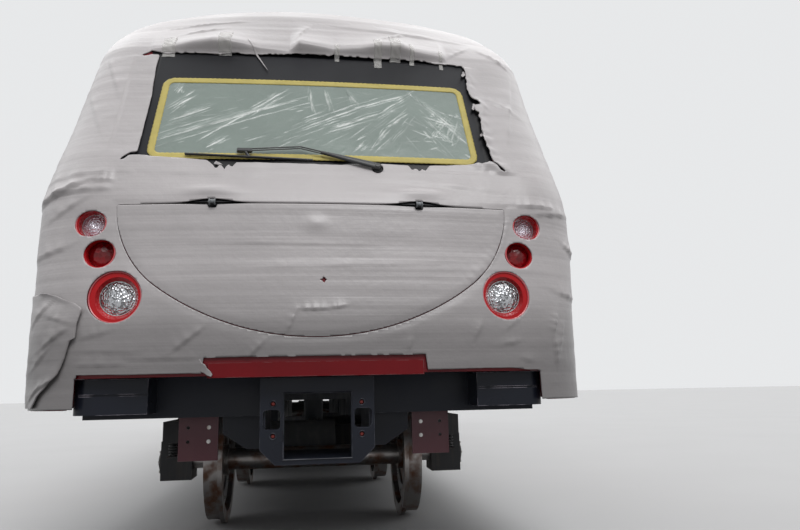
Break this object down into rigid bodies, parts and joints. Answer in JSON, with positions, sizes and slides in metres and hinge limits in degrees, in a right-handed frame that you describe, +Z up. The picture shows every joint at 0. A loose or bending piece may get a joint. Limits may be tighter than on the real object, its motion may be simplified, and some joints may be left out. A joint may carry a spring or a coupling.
{
  "type": "metro car",
  "caption": "Metro cab car on bogies with sliding doors and a front hatch, its front wrapped in protective sheet.",
  "frame": {"origin": "under the middle of the car, level with the lowest points of the wheel flanges", "axes": "+X across the car, to the right of someone facing its front; -Y out of the driving end, +Y towards the rear; +Z up"},
  "size_m": [3.01, 17.9999, 3.96],
  "materials": {
    "mask_paint": "gloss red, under protective sheet",
    "side_paint": "satin pale grey",
    "door_paint": "gloss red",
    "roof_grey": "matt mid grey",
    "black_gloss": "gloss black",
    "glass": "clear, slightly green",
    "lamp_cup_red": "gloss red",
    "lens_clear": "clear",
    "lens_red": "deep red",
    "lip_red": "gloss dark red",
    "underframe_black": "satin black",
    "underframe_grey": "matt dark grey",
    "bracket_maroon": "satin maroon",
    "black_rubber": "matt black",
    "lining": "satin off-white",
    "bench_plastic": "moulded grey",
    "pole_steel": "brushed",
    "desk_plastic": "moulded dark grey",
    "seat_fabric": "woven dark blue",
    "bogie_black": "satin dark grey",
    "motor_grey": "matt grey",
    "wheel_steel": "machined tread, rust-brown sides",
    "wrap_sheet": "white non-woven sheet",
    "clear_film": "cloudy plastic film",
    "yellow_tape": "crepe paper tape",
    "packing_tape": "clear tape"
  },
  "bodies": {
    "car": {"cab_mask": "mask_paint", "front_window_panel": "black_gloss", "front_window_glass": "glass", "lamp_cups": "lamp_cup_red", "clear_lamp_lenses": "lens_clear", "red_lamp_lenses": "lens_red", "bumper_lip": "lip_red", "headstock": "underframe_black", "anticlimbers": "underframe_black", "guard_brackets": "bracket_maroon", "coupler_pocket": "underframe_black", "wiper": "black_rubber", "underframe": "underframe_grey", "side_wall_left": "side_paint", "side_wall_right": "side_paint", "side_windows": "glass", "roof": "roof_grey", "rear_end_wall": "side_paint", "cab_bulkhead": "lining", "gangway_bellows": "black_rubber", "roof_coolers": "roof_grey", "rear_drawbar": "underframe_black", "equipment_cases": "underframe_grey", "benches": "bench_plastic", "grab_poles": "pole_steel", "hand_rails": "pole_steel", "driver_desk": "desk_plastic", "driver_seat": "seat_fabric", "air_springs": "black_rubber", "front_wrap": "wrap_sheet", "window_film": "clear_film"},
    "hatch": {"front_hatch": "mask_paint", "hatch_wrap": "wrap_sheet"},
    "door_left_1_front": {"door_left_1_front": "door_paint"},
    "door_left_1_rear": {"door_left_1_rear": "door_paint"},
    "door_left_2_front": {"door_left_2_front": "door_paint"},
    "door_left_2_rear": {"door_left_2_rear": "door_paint"},
    "door_left_3_front": {"door_left_3_front": "door_paint"},
    "door_left_3_rear": {"door_left_3_rear": "door_paint"},
    "cab_door_left": {"cab_door_left": "door_paint"},
    "door_right_1_front": {"door_right_1_front": "door_paint"},
    "door_right_1_rear": {"door_right_1_rear": "door_paint"},
    "door_right_2_front": {"door_right_2_front": "door_paint"},
    "door_right_2_rear": {"door_right_2_rear": "door_paint"},
    "door_right_3_front": {"door_right_3_front": "door_paint"},
    "door_right_3_rear": {"door_right_3_rear": "door_paint"},
    "cab_door_right": {"cab_door_right": "door_paint"},
    "cab_inner_door": {"cab_inner_door": "lining"},
    "bogie_front": {"bogie_frame_front": "bogie_black", "traction_motors_front": "motor_grey"},
    "wheelset_1": {"wheelset_1": "wheel_steel"},
    "wheelset_2": {"wheelset_2": "wheel_steel"},
    "bogie_rear": {"bogie_frame_rear": "bogie_black", "traction_motors_rear": "motor_grey"},
    "wheelset_3": {"wheelset_3": "wheel_steel"},
    "wheelset_4": {"wheelset_4": "wheel_steel"}
  },
  "joints": [
    {"name": "front_hatch_swing", "type": "hinge", "parent": "car", "child": "hatch", "pos_m": [0, -8.92, 1.935], "axis": [-1, 0, 0], "range_deg": [0, 80]},
    {"name": "door_left_1_front_slide", "type": "slide", "parent": "car", "child": "door_left_1_front", "axis": [0, -1, 0], "range_m": [0, 0.64]},
    {"name": "door_left_1_rear_slide", "type": "slide", "parent": "car", "child": "door_left_1_rear", "axis": [0, 1, 0], "range_m": [0, 0.64]},
    {"name": "door_left_2_front_slide", "type": "slide", "parent": "car", "child": "door_left_2_front", "axis": [0, -1, 0], "range_m": [0, 0.64]},
    {"name": "door_left_2_rear_slide", "type": "slide", "parent": "car", "child": "door_left_2_rear", "axis": [0, 1, 0], "range_m": [0, 0.64]},
    {"name": "door_left_3_front_slide", "type": "slide", "parent": "car", "child": "door_left_3_front", "axis": [0, -1, 0], "range_m": [0, 0.64]},
    {"name": "door_left_3_rear_slide", "type": "slide", "parent": "car", "child": "door_left_3_rear", "axis": [0, 1, 0], "range_m": [0, 0.64]},
    {"name": "cab_door_left_slide", "type": "slide", "parent": "car", "child": "cab_door_left", "axis": [0, 1, 0], "range_m": [0, 0.53]},
    {"name": "door_right_1_front_slide", "type": "slide", "parent": "car", "child": "door_right_1_front", "axis": [0, -1, 0], "range_m": [0, 0.64]},
    {"name": "door_right_1_rear_slide", "type": "slide", "parent": "car", "child": "door_right_1_rear", "axis": [0, 1, 0], "range_m": [0, 0.64]},
    {"name": "door_right_2_front_slide", "type": "slide", "parent": "car", "child": "door_right_2_front", "axis": [0, -1, 0], "range_m": [0, 0.64]},
    {"name": "door_right_2_rear_slide", "type": "slide", "parent": "car", "child": "door_right_2_rear", "axis": [0, 1, 0], "range_m": [0, 0.64]},
    {"name": "door_right_3_front_slide", "type": "slide", "parent": "car", "child": "door_right_3_front", "axis": [0, -1, 0], "range_m": [0, 0.64]},
    {"name": "door_right_3_rear_slide", "type": "slide", "parent": "car", "child": "door_right_3_rear", "axis": [0, 1, 0], "range_m": [0, 0.64]},
    {"name": "cab_door_right_slide", "type": "slide", "parent": "car", "child": "cab_door_right", "axis": [0, 1, 0], "range_m": [0, 0.53]},
    {"name": "cab_inner_door_swing", "type": "hinge", "parent": "car", "child": "cab_inner_door", "pos_m": [-0.306, -6.58, 2.1], "axis": [0, 0, 1], "range_deg": [0, 95]},
    {"name": "bogie_front_turn", "type": "hinge", "parent": "car", "child": "bogie_front", "pos_m": [0, -5.8, 0.6], "axis": [0, 0, 1], "range_deg": [-5, 5]},
    {"name": "wheelset_1_spin", "type": "hinge", "parent": "bogie_front", "child": "wheelset_1", "pos_m": [0, -6.9, 0.458], "axis": [1, 0, 0], "continuous": true},
    {"name": "wheelset_2_spin", "type": "hinge", "parent": "bogie_front", "child": "wheelset_2", "pos_m": [0, -4.7, 0.458], "axis": [1, 0, 0], "continuous": true},
    {"name": "bogie_rear_turn", "type": "hinge", "parent": "car", "child": "bogie_rear", "pos_m": [0, 5.8, 0.6], "axis": [0, 0, 1], "range_deg": [-5, 5]},
    {"name": "wheelset_3_spin", "type": "hinge", "parent": "bogie_rear", "child": "wheelset_3", "pos_m": [0, 4.7, 0.458], "axis": [1, 0, 0], "continuous": true},
    {"name": "wheelset_4_spin", "type": "hinge", "parent": "bogie_rear", "child": "wheelset_4", "pos_m": [0, 6.9, 0.458], "axis": [1, 0, 0], "continuous": true}
  ],
  "couplings": [
    {"joint": "door_left_1_rear_slide", "follows": "door_left_1_front_slide", "ratio": 1},
    {"joint": "door_left_2_rear_slide", "follows": "door_left_2_front_slide", "ratio": 1},
    {"joint": "door_left_3_rear_slide", "follows": "door_left_3_front_slide", "ratio": 1},
    {"joint": "door_right_1_rear_slide", "follows": "door_right_1_front_slide", "ratio": 1},
    {"joint": "door_right_2_rear_slide", "follows": "door_right_2_front_slide", "ratio": 1},
    {"joint": "door_right_3_rear_slide", "follows": "door_right_3_front_slide", "ratio": 1}
  ]
}
